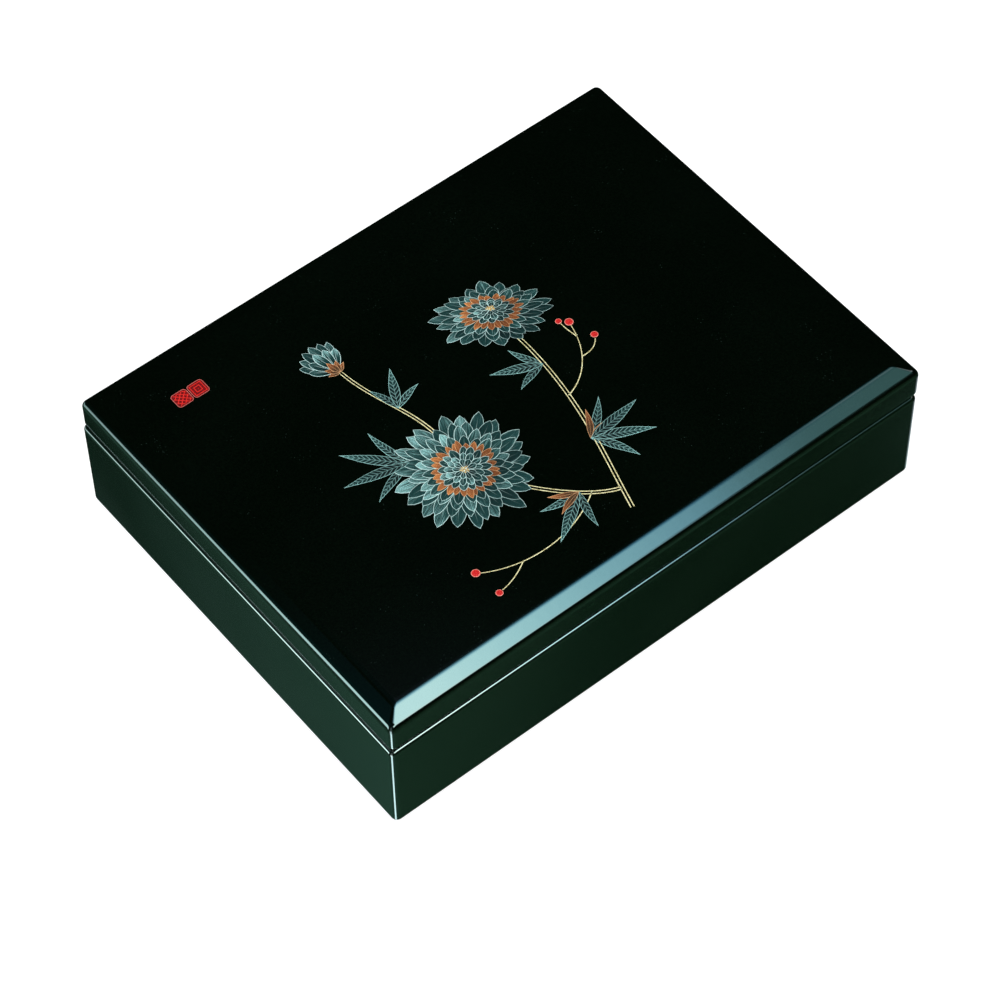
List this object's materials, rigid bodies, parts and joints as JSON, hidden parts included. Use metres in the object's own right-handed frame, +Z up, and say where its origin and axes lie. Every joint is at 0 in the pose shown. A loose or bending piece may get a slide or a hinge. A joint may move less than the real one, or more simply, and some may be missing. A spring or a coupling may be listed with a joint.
{
  "type": "document box",
  "caption": "Flat lacquered box for A4 papers: a hollow case with a raised inner lip and a flush lift-off lid with a sloped border and a painted top.",
  "frame": {"origin": "middle of the case's outline at its underside, on the surface that the box stands on", "axes": "+X along the length, +Y across the width, +Z up through the lid"},
  "size_m": [0.3304, 0.2486, 0.0825],
  "materials": {
    "case_lacquer": "satin lacquer",
    "lid_lacquer": "polished lacquer",
    "teal_paint": "gloss",
    "copper_paint": "metallic gloss",
    "gold_paint": "metallic gloss",
    "red_paint": "gloss"
  },
  "bodies": {
    "root": {"box_body": "case_lacquer", "lid": "lid_lacquer"}
  },
  "joints": []
}
